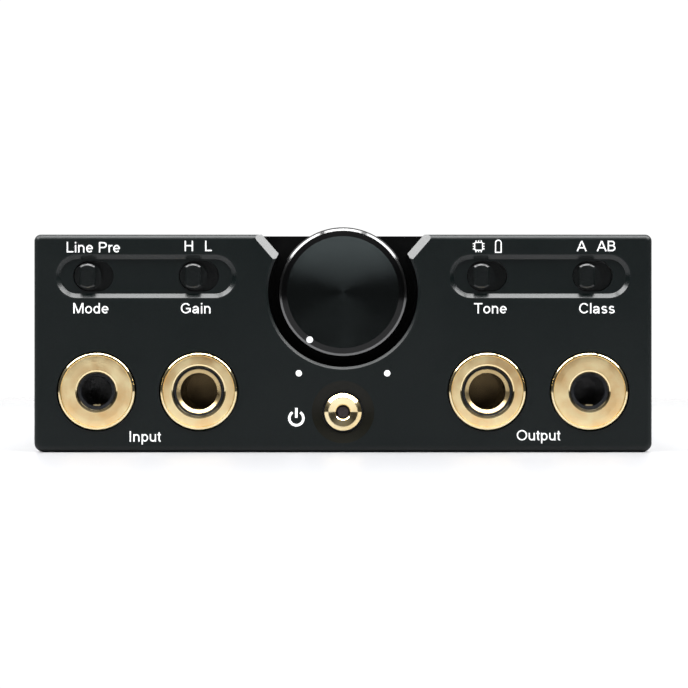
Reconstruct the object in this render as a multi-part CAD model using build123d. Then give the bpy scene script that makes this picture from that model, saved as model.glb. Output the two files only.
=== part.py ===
from build123d import *
import os

# Portable headphone amplifier with a slide-out battery module.
# Millimetres. Origin: on the surface it rests on, under the centre of its box.
# +X to the user's right, +Y away from the user, +Z up. The front panel faces -Y.
# "depth" always means the distance behind the front panel's face.

# ---- case ----
BODY_WIDTH = 75.0
BODY_HEIGHT = 26.4
BODY_LENGTH = 160.0
BEZEL_PROUD = 0.3
FRONT_Y = (BEZEL_PROUD - BODY_LENGTH) / 2
TOP_CORNER_RADIUS = 0.8
BOTTOM_CORNER_RADIUS = 1.1
EDGE_RADIUS = 0.75
WALL = 1.6
SEAM = 0.12
SEAM_CHAMFER = 0.2
MID_Z = BODY_HEIGHT / 2
INNER_WIDTH = BODY_WIDTH - 2 * WALL
INNER_TOP = BODY_HEIGHT - WALL

# ---- front panel ----
PANEL_DEPTH = 9.2
PANEL_WALL = 2.2
BLOCK_HALF_WIDTH = 12.5
BLOCK_BOTTOM = 8.6

# ---- knob bay and its open notch ----
KNOB_Z = 19.4
BAY_RADIUS = 9.1
BAY_DEPTH = 8.0
BAY_CHAMFER = 0.3
NOTCH_FRONT_HALF = 11.1
NOTCH_BACK_HALF = 9.85
NOTCH_SLOPE = 0.87
NOTCH_BEVEL_DEPTH = 0.83
NOTCH_BOTTOM = 22.0

# ---- volume knob and potentiometer ----
KNOB_RADIUS = 7.9
KNOB_FRONT = 0.5
KNOB_BACK = 7.4
KNOB_FACE_RADIUS = 6.8
KNOB_FACE_DISH = 0.4
KNOB_RING_RADIUS = 7.48
KNOB_RING_DROP = 0.25
KNOB_EDGE_RADIUS = 7.74
KNOB_EDGE_DROP = 0.14
KNOB_ROUND_DROP = 0.24
KNURL_COUNT = 72
KNURL_DEPTH = 0.16
KNURL_FRONT = 2.0
KNURL_BACK = 6.6
KNOB_RECESS_RADIUS = 5.3
KNOB_RECESS_DEPTH = 5.0
GRUB_RADIUS = 1.0
GRUB_DEPTH = 3.7
SHAFT_RADIUS = 2.0
SHAFT_FRONT = 2.0
SHAFT_BACK = 14.0
RUNNING_GAP = 0.05
BUSHING_RADIUS = 3.0
BUSHING_FRONT = 6.0
NUT_ACROSS_FLATS = 8.0
NUT_THICKNESS = 1.6
POT_HALF = 5.2
POT_BACK = 19.0

# ---- slide switches ----
RECESS_X = 23.9
RECESS_Z = 21.3
RECESS_LENGTH = 22.0
RECESS_HEIGHT = 5.3
RECESS_SLOPE = 0.56
RECESS_DEPTH = 0.45
RECESS_LIP = 0.07
SWITCH_X = {"mode": -30.3, "gain": -17.5, "timbre": 17.5, "class": 30.3}
SWITCH_Z = 21.35
SLOT_LENGTH = 4.9
SLOT_HEIGHT = 3.75
CAP_RADIUS = 1.65
CAP_DISC_FRONT = 0.7
CAP_REST = -0.7
GRIP_FRONT = -0.28
GRIP_WIDTH = 1.9
GRIP_CHAMFER = 0.2
GRIP_HEIGHT = 2.97
FLANGE_LENGTH = 7.4
FLANGE_HEIGHT = 5.0
FLANGE_THICKNESS = 0.6
SLOT_WEB = 1.05
CAP_BACK = 4.6
LEVER_WIDTH = 1.3
SWITCH_BODY_FRONT = 6.2
SWITCH_BODY_LENGTH = 8.2
SWITCH_BODY_HEIGHT = 4.0

# ---- jacks ----
JACK_Z = 7.35
JACKS_35 = {"input": -29.9, "output": 29.9}
JACKS_44 = {"input": -17.5, "output": 17.5}
JACK_HOLE_RADIUS = 4.85
BEZEL_RADIUS = 4.7
BEZEL_DEPTH = 2.1
BEZEL_FACE_RADIUS = 4.28
BEZEL_RIM_WIDTH = 0.08
BEZEL_RIM_HEIGHT = 0.1
BEZEL_ROUND = 0.3
INSERT_RADIUS_35 = 2.4
BORE_RADIUS_35 = 1.8
INSERT_RADIUS_44 = 3.13
BARREL_RADIUS_44 = 2.72
BORE_RADIUS_44 = 2.25
INSERT_FRONT = 0.1
JACK_BODY_HALF = 4.6
JACK_BODY_TOP = 11.9
JACK_BODY_FRONT = 2.3
JACK_BODY_BACK_35 = 16.6
JACK_BODY_BACK_44 = 21.0
JACK_BACK_WALL = 1.0
BARREL_FLOOR = 0.4
LEAF_FRONT = 0.9
CONTACT_FRONT = 4.6
CONTACT_LENGTH = 2.2
CONTACT_DROP = 0.3

# ---- power button ----
BUTTON_Z = 4.85
DISH_RADIUS = 3.8
DISH_FLOOR_RADIUS = 2.63
DISH_DEPTH = 0.35
BUTTON_RADIUS = 2.25
BUTTON_HOLE_RADIUS = 2.53
BUTTON_FRONT = -0.1
LENS_RADIUS = 0.88
STEM_RADIUS = 1.4
STEM_BACK = 4.4

# ---- boards ----
BOARD_THICKNESS = 1.2
BOARD_TOP = 3.35
BOARD_FRONT = 3.0
BOARD_BACK = 68.0
BOARD_HALF_WIDTH = 34.0
SWITCH_BOARD_FRONT = 9.6
SWITCH_BOARD_BACK = 10.6
SWITCH_BOARD_BOTTOM = 12.6
SWITCH_BOARD_TOP = 24.4
TUBE_BOARD_BOTTOM = 14.6
TUBE_BOARD_TOP = 15.6
TUBE_BOARD_FRONT = 22.0
TUBE_BOARD_BACK = 46.0
SCREW_RADIUS = 1.0
SCREW_HEAD_RADIUS = 1.9
SCREW_HEAD_HEIGHT = 1.0

# ---- tubes and their windows ----
WINDOW_X = 18.5
WINDOW_LENGTH = 30.0
WINDOW_WIDTH = 15.0
WINDOW_MID_DEPTH = 34.0
WINDOW_CORNER = 2.0
WINDOW_LEDGE = 1.4
WINDOW_SEAT_DEPTH = 1.1
GLASS_THICKNESS = 0.9
GASKET_THICKNESS = 0.15
TUBE_LENGTH = 27.0
TUBE_WIDTH = 12.6
TUBE_HEIGHT = 4.6
TUBE_WALL = 0.6
CRADLE_HEIGHT = 1.6

# ---- battery module ----
END_PLATE_DEPTH = 156.0
CELL_RADIUS = 9.2
CELL_GAP = 0.05
CELL_LENGTH = 65.2
CELL_PITCH = 18.9
CELL_FIRST_DEPTH = 82.2
CELL_COUNT = 4
TRAY_FRONT = 71.8
TRAY_HALF_WIDTH = 33.6
TRAY_BOTTOM = 2.2
TRAY_TOP = 10.2
BATTERY_BOARD_DEPTH = 149.4
USB_WIDTH = 8.94
USB_HEIGHT = 3.26
USB_WALL = 0.3
LIGHT_COUNT = 4
LIGHT_FIRST_X = 12.5
LIGHT_PITCH = 3.0
LIGHT_RADIUS = 0.8
CHECK_X = -16.0
CHECK_RADIUS = 1.6
CAPTIVE_X = 34.2
CAPTIVE_HEAD_RADIUS = 2.1
CAPTIVE_SHANK_RADIUS = 0.9


# ---- basic shapes, placed by X, Z and depth ----

def face_plane(depth):
    """A plane parallel to the front panel, seen from the front: local x is X, local y is Z."""
    return Plane(origin=(0, FRONT_Y + depth, 0), x_dir=(1, 0, 0), z_dir=(0, -1, 0))


def prism(outline, front, back):
    """A flat outline drawn in X and Z, carried from one depth to another."""
    return extrude(face_plane(back) * outline, amount=back - front)


def rod(x, z, radius, front, back):
    return prism(Pos(x, z) * Circle(radius), front, back)


def tube(x, z, outer, inner, front, back):
    return prism(Pos(x, z) * (Circle(outer) - Circle(inner)), front, back)


def slot(x, z, length, height, front, back):
    return prism(Pos(x, z) * SlotOverall(length, height), front, back)


def block(x_span, depth_span, z_span):
    corner = (x_span[0], FRONT_Y + depth_span[0], z_span[0])
    size = (x_span[1] - x_span[0], depth_span[1] - depth_span[0], z_span[1] - z_span[0])
    return Pos(*corner) * Box(*size, align=(Align.MIN, Align.MIN, Align.MIN))


def post(x, depth, radius, bottom, top):
    """A vertical cylinder."""
    foot = Pos(x, FRONT_Y + depth, bottom)
    return foot * Cylinder(radius, top - bottom, align=(Align.CENTER, Align.CENTER, Align.MIN))


def turned(x, z, profile):
    """A turned piece about an axis along Y, from (radius, depth) corners."""
    outline = make_face(Polyline(*[(radius, -depth) for radius, depth in profile], close=True))
    lathe = Plane(origin=(x, FRONT_Y, z), x_dir=(1, 0, 0), z_dir=(0, 0, 1))
    axis = Axis((x, FRONT_Y, z), (0, 1, 0))
    return revolve(lathe * mirror(outline, Plane.XZ), axis)


def tapered(front_outline, front, back_outline, back):
    """A straight-sided blend between two outlines at two depths."""
    return loft([face_plane(front) * front_outline, face_plane(back) * back_outline], ruled=True)


def body_outline():
    """The case's end-on outline, with its own radii at the top and the bottom."""
    outline = Pos(0, MID_Z) * Rectangle(BODY_WIDTH, BODY_HEIGHT)
    outline = fillet(outline.vertices().group_by(Axis.Y)[-1], TOP_CORNER_RADIUS)
    return fillet(outline.vertices().group_by(Axis.Y)[0], BOTTOM_CORNER_RADIUS)


def inner_outline():
    return Pos(0, MID_Z) * RectangleRounded(INNER_WIDTH, BODY_HEIGHT - 2 * WALL, 0.6)


# ---- case ----

def notch_outline(half_width):
    """The notch above the knob: it widens upwards past the case's top."""
    overshoot = 1.0
    top_half = half_width + NOTCH_SLOPE * overshoot
    low_half = half_width - NOTCH_SLOPE * (BODY_HEIGHT - NOTCH_BOTTOM)
    top = BODY_HEIGHT + overshoot
    corners = [(-low_half, NOTCH_BOTTOM), (low_half, NOTCH_BOTTOM), (top_half, top), (-top_half, top)]
    return make_face(Polyline(*corners, close=True))


def knob_bay():
    """The space round the knob, with a bevelled rim and the bevelled notch above it."""
    bay = rod(0, KNOB_Z, BAY_RADIUS, 0, BAY_DEPTH)
    bay += tapered(notch_outline(NOTCH_FRONT_HALF), 0, notch_outline(NOTCH_BACK_HALF), NOTCH_BEVEL_DEPTH)
    bay += prism(notch_outline(NOTCH_BACK_HALF), 0, BAY_DEPTH)
    rim = [(0, 0), (BAY_RADIUS + BAY_CHAMFER, 0), (BAY_RADIUS, BAY_CHAMFER), (0, BAY_CHAMFER)]
    return bay + turned(0, KNOB_Z, rim)


def recess_outline(side, grow):
    """A recess's stadium, with every side moved out by grow."""
    return Pos(side * RECESS_X, RECESS_Z) * SlotOverall(RECESS_LENGTH + 2 * grow, RECESS_HEIGHT + 2 * grow)


def switch_recess(side):
    """A shallow stadium with sloping walls, an eased rim and a flat floor."""
    walls = tapered(recess_outline(side, 0), 0, recess_outline(side, -RECESS_SLOPE), RECESS_DEPTH)
    lip = tapered(recess_outline(side, RECESS_LIP), 0, recess_outline(side, -RECESS_LIP / 2), RECESS_LIP / 2)
    return walls + lip


def button_dish():
    slope = [(0, 0), (DISH_RADIUS, 0), (DISH_FLOOR_RADIUS, DISH_DEPTH), (0, DISH_DEPTH)]
    return turned(0, BUTTON_Z, slope)


def panel_tabs():
    """Two side tabs that reach back into the sleeve and take the case screws."""
    inner_x, outer_x = 33.4, INNER_WIDTH / 2
    tab_z = (12.8, 18.2)
    tabs = []
    for side in (-1, 1):
        root = sorted((side * inner_x, side * (outer_x + 0.2)))
        tip = sorted((side * inner_x, side * (outer_x - 0.05)))
        tabs.append(block(root, (5.0, PANEL_DEPTH), tab_z) + block(tip, (5.0, 15.2), tab_z))
    return tabs


def case_screw_place(side):
    """Where a side screw enters: pointing inwards along X."""
    depth, z = 12.4, 15.5
    return Plane(origin=(side * BODY_WIDTH / 2, FRONT_Y + depth, z), z_dir=(-side, 0, 0))


def front_panel():
    panel = prism(body_outline(), 0, PANEL_DEPTH)
    panel = fillet(panel.edges().group_by(Axis.Y)[0], EDGE_RADIUS)
    inner_half = INNER_WIDTH / 2
    pocket_back = PANEL_DEPTH + 1
    panel -= block((-inner_half, inner_half), (PANEL_WALL, pocket_back), (WALL, BLOCK_BOTTOM))
    panel -= block((BLOCK_HALF_WIDTH, inner_half), (PANEL_WALL, pocket_back), (WALL, INNER_TOP))
    panel -= block((-inner_half, -BLOCK_HALF_WIDTH), (PANEL_WALL, pocket_back), (WALL, INNER_TOP))
    panel -= knob_bay()
    panel -= rod(0, KNOB_Z, BUSHING_RADIUS + 0.1, BAY_DEPTH - 1, pocket_back)
    for side in (-1, 1):
        panel -= switch_recess(side)
    for x in SWITCH_X.values():
        panel -= slot(x, SWITCH_Z, SLOT_LENGTH, SLOT_HEIGHT, 0, PANEL_WALL + 1)
        flange_room = FLANGE_LENGTH + 2 * abs(CAP_REST) + 0.4
        panel -= slot(x, SWITCH_Z, flange_room, FLANGE_HEIGHT + 0.4, RECESS_DEPTH + SLOT_WEB, PANEL_WALL + 1)
    for x in list(JACKS_35.values()) + list(JACKS_44.values()):
        panel -= rod(x, JACK_Z, JACK_HOLE_RADIUS, -1, PANEL_WALL + 1)
    panel -= button_dish()
    panel -= rod(0, BUTTON_Z, BUTTON_HOLE_RADIUS, 0, PANEL_WALL + 1)
    for tab in panel_tabs():
        panel += tab
    for side in (-1, 1):
        panel -= case_screw_place(side) * Cylinder(SCREW_RADIUS, 12)
    return panel


def window_outline(inset):
    return RectangleRounded(WINDOW_LENGTH - 2 * inset, WINDOW_WIDTH - 2 * inset, WINDOW_CORNER - inset / 2)


def window_slab(side, inset, bottom, top):
    place = Pos(side * WINDOW_X, FRONT_Y + WINDOW_MID_DEPTH, bottom)
    return place * extrude(window_outline(inset), amount=top - bottom)


def sleeve_lug(side):
    """A threaded block inside the sleeve, which a captive screw of the battery module screws into."""
    span = sorted((side * 33.0, side * (INNER_WIDTH / 2 + 0.2)))
    lug = block(span, (151.0, 155.6), (MID_Z - 2.6, MID_Z + 2.6))
    return lug - rod(side * CAPTIVE_X, MID_Z, CAPTIVE_SHANK_RADIUS + RUNNING_GAP, 150, 157)


def board_screw_places():
    return [(x, depth) for x in (-31.0, 31.0) for depth in (25.0, 62.0)]


def housing_sleeve():
    front = PANEL_DEPTH + SEAM
    back = END_PLATE_DEPTH - SEAM
    sleeve = prism(body_outline(), front, back)
    ends = sleeve.edges().group_by(Axis.Y)
    sleeve = chamfer(ends[0] + ends[-1], SEAM_CHAMFER)
    sleeve -= prism(inner_outline(), front - 1, back + 1)
    seat = BODY_HEIGHT - WINDOW_SEAT_DEPTH
    for side in (-1, 1):
        sleeve -= window_slab(side, 0, seat, BODY_HEIGHT + 1)
        sleeve -= window_slab(side, WINDOW_LEDGE, INNER_TOP - 1, BODY_HEIGHT)
        sleeve += sleeve_lug(side)
        place = case_screw_place(side)
        sleeve -= place * Cylinder(SCREW_RADIUS + 0.1, 4)
        sleeve -= place * Pos(0, 0, 0.6) * Cone(SCREW_HEAD_RADIUS + 0.05, SCREW_RADIUS + 0.1, 1.2)
    for x, depth in board_screw_places():
        sleeve += post(x, depth, 2.2, WALL - 0.3, BOARD_TOP - BOARD_THICKNESS)
        sleeve -= post(x, depth, SCREW_RADIUS, WALL - 0.6, BOARD_TOP)
    return sleeve


def case_screws():
    """Two countersunk screws with hexagon sockets, one in each side."""
    screws = []
    for side in (-1, 1):
        screw = Pos(0, 0, 0.7) * Cone(SCREW_HEAD_RADIUS - 0.05, SCREW_RADIUS - 0.05, 1.1)
        screw += Pos(0, 0, 2.4) * Cylinder(SCREW_RADIUS - 0.05, 2.6)
        screw -= Pos(0, 0, 0.4) * extrude(RegularPolygon(0.75, 6), amount=0.5, both=True)
        screws.append(case_screw_place(side) * screw)
    return screws


def window_glass(side):
    top = BODY_HEIGHT - 0.05
    pane = window_slab(side, 0.12, top - GLASS_THICKNESS, top)
    return chamfer(pane.edges().group_by(Axis.Z)[-1], 0.15)


def window_gaskets():
    seat = BODY_HEIGHT - WINDOW_SEAT_DEPTH
    rings = []
    for side in (-1, 1):
        ring = window_slab(side, 0.3, seat, seat + GASKET_THICKNESS)
        rings.append(ring - window_slab(side, WINDOW_LEDGE, seat - 1, seat + 1))
    return rings


# ---- volume control ----

def knurl_groove(angle):
    """One V groove along the knob's side."""
    half = KNURL_DEPTH * 0.9
    tip = (KNOB_RADIUS - KNURL_DEPTH, 0)
    outline = make_face(Polyline((KNOB_RADIUS + 0.1, -half), (KNOB_RADIUS + 0.1, half), tip, close=True))
    return prism(Pos(0, KNOB_Z) * Rot(0, 0, angle) * outline, KNURL_FRONT, KNURL_BACK)


def knob_dish():
    """The ball that hollows the knob's face to the depth of its dish."""
    ball_radius = (KNOB_FACE_RADIUS**2 + KNOB_FACE_DISH**2) / (2 * KNOB_FACE_DISH)
    return Pos(0, FRONT_Y + KNOB_FRONT + KNOB_FACE_DISH - ball_radius, KNOB_Z) * Sphere(ball_radius)


def volume_knob():
    ring_depth = KNOB_FRONT + KNOB_RING_DROP
    edge_depth = ring_depth + KNOB_EDGE_DROP
    side_depth = edge_depth + KNOB_ROUND_DROP
    profile = [
        (0, KNOB_FRONT),
        (KNOB_FACE_RADIUS, KNOB_FRONT),
        (KNOB_RING_RADIUS, ring_depth),
        (KNOB_EDGE_RADIUS, edge_depth),
        (KNOB_RADIUS, side_depth),
        (KNOB_RADIUS, KNOB_BACK - 0.3),
        (KNOB_RING_RADIUS, KNOB_BACK),
        (KNOB_RECESS_RADIUS, KNOB_BACK),
        (KNOB_RECESS_RADIUS, KNOB_RECESS_DEPTH),
        (SHAFT_RADIUS, KNOB_RECESS_DEPTH),
        (SHAFT_RADIUS, SHAFT_FRONT),
        (0, SHAFT_FRONT),
    ]
    knob = turned(0, KNOB_Z, profile) - knob_dish()
    knob -= [knurl_groove(360 * step / KNURL_COUNT) for step in range(KNURL_COUNT)]
    return knob - grub_hole(GRUB_RADIUS, 0)


def grub_hole(radius, from_axis):
    """A radial cylinder below the knob's axis, from a distance below the axis to past the rim."""
    return post(0, GRUB_DEPTH, radius, KNOB_Z - KNOB_RADIUS - 1, KNOB_Z - from_axis)


def knob_grub_screw():
    top = KNOB_Z - SHAFT_RADIUS - 0.02
    screw = post(0, GRUB_DEPTH, GRUB_RADIUS - 0.05, top - 4.0, top)
    socket = Pos(0, FRONT_Y + GRUB_DEPTH, top - 4.0) * extrude(RegularPolygon(0.5, 6), amount=1.2)
    return screw - socket


def pot_shaft():
    """The shaft, with a flat for the grub screw over the length that the knob grips."""
    shaft = rod(0, KNOB_Z, SHAFT_RADIUS, SHAFT_FRONT, SHAFT_BACK)
    flat_top = KNOB_Z - SHAFT_RADIUS + 0.02
    return shaft - block((-3, 3), (SHAFT_FRONT - 1, KNOB_RECESS_DEPTH), (KNOB_Z - 3, flat_top))


def pot_bushing():
    bore = SHAFT_RADIUS + RUNNING_GAP
    return tube(0, KNOB_Z, BUSHING_RADIUS, bore, BUSHING_FRONT, SWITCH_BOARD_BACK)


def pot_nut():
    outline = RegularPolygon(NUT_ACROSS_FLATS / 2, 6, major_radius=False) - Circle(BUSHING_RADIUS)
    return prism(Pos(0, KNOB_Z) * outline, BAY_DEPTH - NUT_THICKNESS, BAY_DEPTH)


def pot_body():
    z_span = (KNOB_Z - POT_HALF, KNOB_Z + POT_HALF)
    body = block((-POT_HALF - 1, POT_HALF + 1), (SWITCH_BOARD_BACK, POT_BACK), z_span)
    return body - rod(0, KNOB_Z, SHAFT_RADIUS + RUNNING_GAP, SWITCH_BOARD_BACK - 1, SHAFT_BACK + 0.3)


# ---- slide switches ----

def slider_grip(x):
    """The raised part of a slider cap: a disc with both sides cut flat."""
    disc = Circle(GRIP_HEIGHT / 2) & Rectangle(GRIP_WIDTH, GRIP_HEIGHT)
    grip = prism(Pos(x, SWITCH_Z) * disc, GRIP_FRONT, CAP_DISC_FRONT)
    return chamfer(grip.edges().group_by(Axis.Y)[0], GRIP_CHAMFER)


def flange_depths():
    """Where a slider cap's flange lies, just behind the thin web round its slot."""
    front = RECESS_DEPTH + SLOT_WEB + 0.05
    return front, front + FLANGE_THICKNESS


def slider_cap(name):
    x = SWITCH_X[name] + CAP_REST
    flange_front, flange_back = flange_depths()
    cap = slider_grip(x)
    cap += rod(x, SWITCH_Z, CAP_RADIUS, CAP_DISC_FRONT, flange_front)
    cap += slot(x, SWITCH_Z, FLANGE_LENGTH, FLANGE_HEIGHT, flange_front, flange_back)
    socket = Rectangle(2.6, 2.6) - Rectangle(LEVER_WIDTH, LEVER_WIDTH)
    return cap + prism(Pos(x, SWITCH_Z) * socket, flange_back, CAP_BACK)


def switch_lever(name):
    """The switch's own lever, which ends in a contact block inside the switch."""
    x = SWITCH_X[name] + CAP_REST
    flange_back = flange_depths()[1]
    lever = prism(Pos(x, SWITCH_Z) * Rectangle(LEVER_WIDTH, LEVER_WIDTH), flange_back, 7.4)
    return lever + prism(Pos(x, SWITCH_Z) * Rectangle(2.6, 2.4), 7.4, 8.6)


def switch_body(name):
    """A hollow switch can, open in front where the lever slides."""
    x = SWITCH_X[name]
    shell = Rectangle(SWITCH_BODY_LENGTH, SWITCH_BODY_HEIGHT)
    body = prism(Pos(x, SWITCH_Z) * shell, SWITCH_BODY_FRONT, SWITCH_BOARD_FRONT)
    body -= prism(Pos(x, SWITCH_Z) * Rectangle(6.4, 3.0), SWITCH_BODY_FRONT + 0.5, SWITCH_BOARD_FRONT - 0.4)
    return body - prism(Pos(x, SWITCH_Z) * Rectangle(4.0, 1.8), SWITCH_BODY_FRONT - 1, SWITCH_BODY_FRONT + 1)


# ---- jacks ----

def jack_bezel(x, inner_radius):
    """A turned ring: a faintly crowned face inside a low rim with a rounded outer edge."""
    rim_front = -BEZEL_PROUD
    face = rim_front + BEZEL_RIM_HEIGHT
    profile = [
        (inner_radius, face + 0.03),
        (inner_radius + 0.17, face - 0.02),
        (BEZEL_FACE_RADIUS - 0.7, face),
        (BEZEL_FACE_RADIUS, face + 0.06),
        (BEZEL_FACE_RADIUS + BEZEL_RIM_WIDTH, rim_front),
        (BEZEL_RADIUS, rim_front),
        (BEZEL_RADIUS, BEZEL_DEPTH),
        (inner_radius, BEZEL_DEPTH),
    ]
    ring = turned(x, JACK_Z, profile)
    outer_edges = [edge for edge in ring.edges().group_by(Axis.Y)[0] if edge.radius > BEZEL_RADIUS - 0.01]
    return fillet(outer_edges, BEZEL_ROUND)


def jack_shell(x, back):
    """The plastic block behind a jack's face."""
    x_span = (x - JACK_BODY_HALF, x + JACK_BODY_HALF)
    return block(x_span, (JACK_BODY_FRONT, back), (BOARD_TOP, JACK_BODY_TOP))


def insert_profile(bore, radius):
    """The plastic ring in a bezel, with both edges of its face eased."""
    return [
        (0, INSERT_FRONT + 0.12),
        (bore, INSERT_FRONT + 0.12),
        (bore + 0.1, INSERT_FRONT),
        (radius - 0.16, INSERT_FRONT),
        (radius - 0.05, INSERT_FRONT + 0.06),
        (radius, INSERT_FRONT + 0.18),
        (radius, JACK_BODY_FRONT),
        (0, JACK_BODY_FRONT),
    ]


def jack_body_35(x):
    body = jack_shell(x, JACK_BODY_BACK_35)
    body += turned(x, JACK_Z, insert_profile(BORE_RADIUS_35, INSERT_RADIUS_35))
    body -= rod(x, JACK_Z, BORE_RADIUS_35, 0, JACK_BODY_BACK_35 - JACK_BACK_WALL)
    return body - contact_groove(x, BORE_RADIUS_35, LEAF_FRONT - 0.1, JACK_BODY_BACK_35 - 2.0)


def jack_body_44(x):
    body = jack_shell(x, JACK_BODY_BACK_44)
    body += turned(x, JACK_Z, insert_profile(BARREL_RADIUS_44, INSERT_RADIUS_44))
    body -= rod(x, JACK_Z, BARREL_RADIUS_44, 0, JACK_BODY_BACK_44 - JACK_BACK_WALL)
    return body - contact_groove(x, BORE_RADIUS_44, CONTACT_FRONT - 0.4, JACK_BODY_BACK_44 - 2.0)


def contact_groove(x, bore, front, back):
    """The groove along the bottom of a jack's bore, where its contact springs lie."""
    low = JACK_Z - bore - CONTACT_DROP - 0.1
    return block((x - 0.6, x + 0.6), (front, back), (low, JACK_Z - bore + 0.3))


def jack_barrels():
    """The drawn metal cups that line the two 4.4 mm jacks."""
    cups = []
    mouth = INSERT_FRONT + 0.1
    cup_back = JACK_BODY_BACK_44 - JACK_BACK_WALL
    profile = [
        (0, cup_back - BARREL_FLOOR),
        (BORE_RADIUS_44, cup_back - BARREL_FLOOR),
        (BORE_RADIUS_44, mouth + 0.26),
        (BARREL_RADIUS_44 - 0.07, mouth),
        (BARREL_RADIUS_44, mouth),
        (BARREL_RADIUS_44, cup_back),
        (0, cup_back),
    ]
    for x in JACKS_44.values():
        cup = turned(x, JACK_Z, profile)
        cups.append(cup - contact_groove(x, BORE_RADIUS_44, CONTACT_FRONT - 0.4, JACK_BODY_BACK_44 - 2.0))
    return cups


def contact_spring(x, bore, front, rise):
    """A leaf that stands a little into the bore."""
    top = JACK_Z - bore + rise
    return block((x - 0.43, x + 0.43), (front, front + CONTACT_LENGTH), (top - CONTACT_DROP, top))


def jack_contacts():
    """Contact springs along the bottom of each bore: three in a 3.5 mm jack, four in a 4.4 mm jack."""
    contacts = []
    for x in JACKS_35.values():
        contacts += [contact_spring(x, BORE_RADIUS_35, LEAF_FRONT + 4.2 * step, 0.2) for step in range(3)]
    for x in JACKS_44.values():
        contacts += [contact_spring(x, BORE_RADIUS_44, CONTACT_FRONT + 3.4 * step, 0.1) for step in range(4)]
    return contacts


# ---- power button ----

def power_button():
    """A turned cap with a bright rim round a dish, a flange that holds it behind the panel, and a stem."""
    profile = [
        (LENS_RADIUS, BUTTON_FRONT + 0.32),
        (LENS_RADIUS + 0.13, BUTTON_FRONT + 0.2),
        (BUTTON_RADIUS - 0.5, BUTTON_FRONT),
        (BUTTON_RADIUS - 0.42, BUTTON_FRONT),
        (BUTTON_RADIUS, BUTTON_FRONT + 0.3),
        (BUTTON_RADIUS, PANEL_WALL + 0.1),
        (BUTTON_RADIUS + 0.6, PANEL_WALL + 0.1),
        (BUTTON_RADIUS + 0.6, PANEL_WALL + 0.8),
        (STEM_RADIUS, PANEL_WALL + 0.8),
        (STEM_RADIUS, STEM_BACK),
        (LENS_RADIUS, STEM_BACK),
    ]
    return turned(0, BUTTON_Z, profile)


def power_button_lens():
    profile = [
        (0, BUTTON_FRONT + 0.42),
        (LENS_RADIUS - 0.25, BUTTON_FRONT + 0.42),
        (LENS_RADIUS, BUTTON_FRONT + 0.6),
        (LENS_RADIUS, 4.2),
        (0, 4.2),
    ]
    return turned(0, BUTTON_Z, profile)


def power_switch_body():
    """A tactile switch that stands on the main board behind the button's stem."""
    body = block((-3.2, 3.2), (4.0, 8.0), (BOARD_TOP, 8.0))
    return body - rod(0, BUTTON_Z, 1.9, 3.0, 5.4) - block((-1.9, 1.9), (3.0, 5.4), (3.0, BUTTON_Z))


# ---- boards and what stands on them ----

def main_board():
    x_span = (-BOARD_HALF_WIDTH, BOARD_HALF_WIDTH)
    board = block(x_span, (BOARD_FRONT, BOARD_BACK), (BOARD_TOP - BOARD_THICKNESS, BOARD_TOP))
    for x, depth in board_screw_places():
        board -= post(x, depth, SCREW_RADIUS + 0.15, 0, BOARD_TOP + 1)
    return board - block((-3.4, 3.4), (BOARD_FRONT - 1, 3.9), (0, BOARD_TOP + 1))


def switch_board():
    z_span = (SWITCH_BOARD_BOTTOM, SWITCH_BOARD_TOP)
    board = block((-34.4, 34.4), (SWITCH_BOARD_FRONT, SWITCH_BOARD_BACK), z_span)
    for side in (-1, 1):
        corner = sorted((side * 33.0, side * 35.0))
        board -= block(corner, (9.0, 11.0), (SWITCH_BOARD_BOTTOM - 1, 18.6))
    return board - rod(0, KNOB_Z, BUSHING_RADIUS + 0.1, 9.0, 11.0)


def board_link_header():
    """The pin header that carries the switch board's signals down to the main board."""
    return block((-5.0, 5.0), (SWITCH_BOARD_BACK, 12.8), (BOARD_TOP, 13.6))


def pillar_places():
    return [(x, depth) for x in (-31.0, 31.0) for depth in (31.0, 43.0)]


def tube_board():
    z_span = (TUBE_BOARD_BOTTOM, TUBE_BOARD_TOP)
    board = block((-33.5, 33.5), (TUBE_BOARD_FRONT, TUBE_BOARD_BACK), z_span)
    for x, depth in pillar_places():
        board -= post(x, depth, SCREW_RADIUS + 0.15, 0, TUBE_BOARD_TOP + 1)
    return board


def tube_board_pillars():
    pillars = []
    for x, depth in pillar_places():
        pillar = post(x, depth, 2.0, BOARD_TOP, TUBE_BOARD_BOTTOM)
        pillars.append(pillar - post(x, depth, SCREW_RADIUS, TUBE_BOARD_BOTTOM - 4, TUBE_BOARD_BOTTOM + 1))
    return pillars


def pan_head_screw(x, depth, seat, length):
    screw = post(x, depth, SCREW_HEAD_RADIUS, seat, seat + SCREW_HEAD_HEIGHT)
    screw += post(x, depth, SCREW_RADIUS - 0.05, seat - length, seat)
    socket = extrude(RegularPolygon(0.8, 6), amount=0.7)
    return screw - Pos(x, FRONT_Y + depth, seat + SCREW_HEAD_HEIGHT - 0.6) * socket


def board_screws():
    screws = [pan_head_screw(x, depth, BOARD_TOP, 2.2) for x, depth in board_screw_places()]
    screws += [pan_head_screw(x, depth, TUBE_BOARD_TOP, 2.2) for x, depth in pillar_places()]
    return screws


def tube_slab(side, inset, bottom, top):
    outline = RectangleRounded(TUBE_LENGTH - 2 * inset, TUBE_WIDTH - 2 * inset, 2.0 - inset)
    place = Pos(side * (WINDOW_X - 1.5), FRONT_Y + WINDOW_MID_DEPTH, bottom)
    return place * extrude(outline, amount=top - bottom)


def triode_tube(side):
    """A flat evacuated glass envelope."""
    bottom = TUBE_BOARD_TOP + CRADLE_HEIGHT
    top = bottom + TUBE_HEIGHT
    glass = tube_slab(side, 0, bottom, top)
    glass = fillet(glass.edges().group_by(Axis.Z)[-1], 0.8)
    return glass - tube_slab(side, TUBE_WALL, bottom + TUBE_WALL, top - TUBE_WALL)


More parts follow.
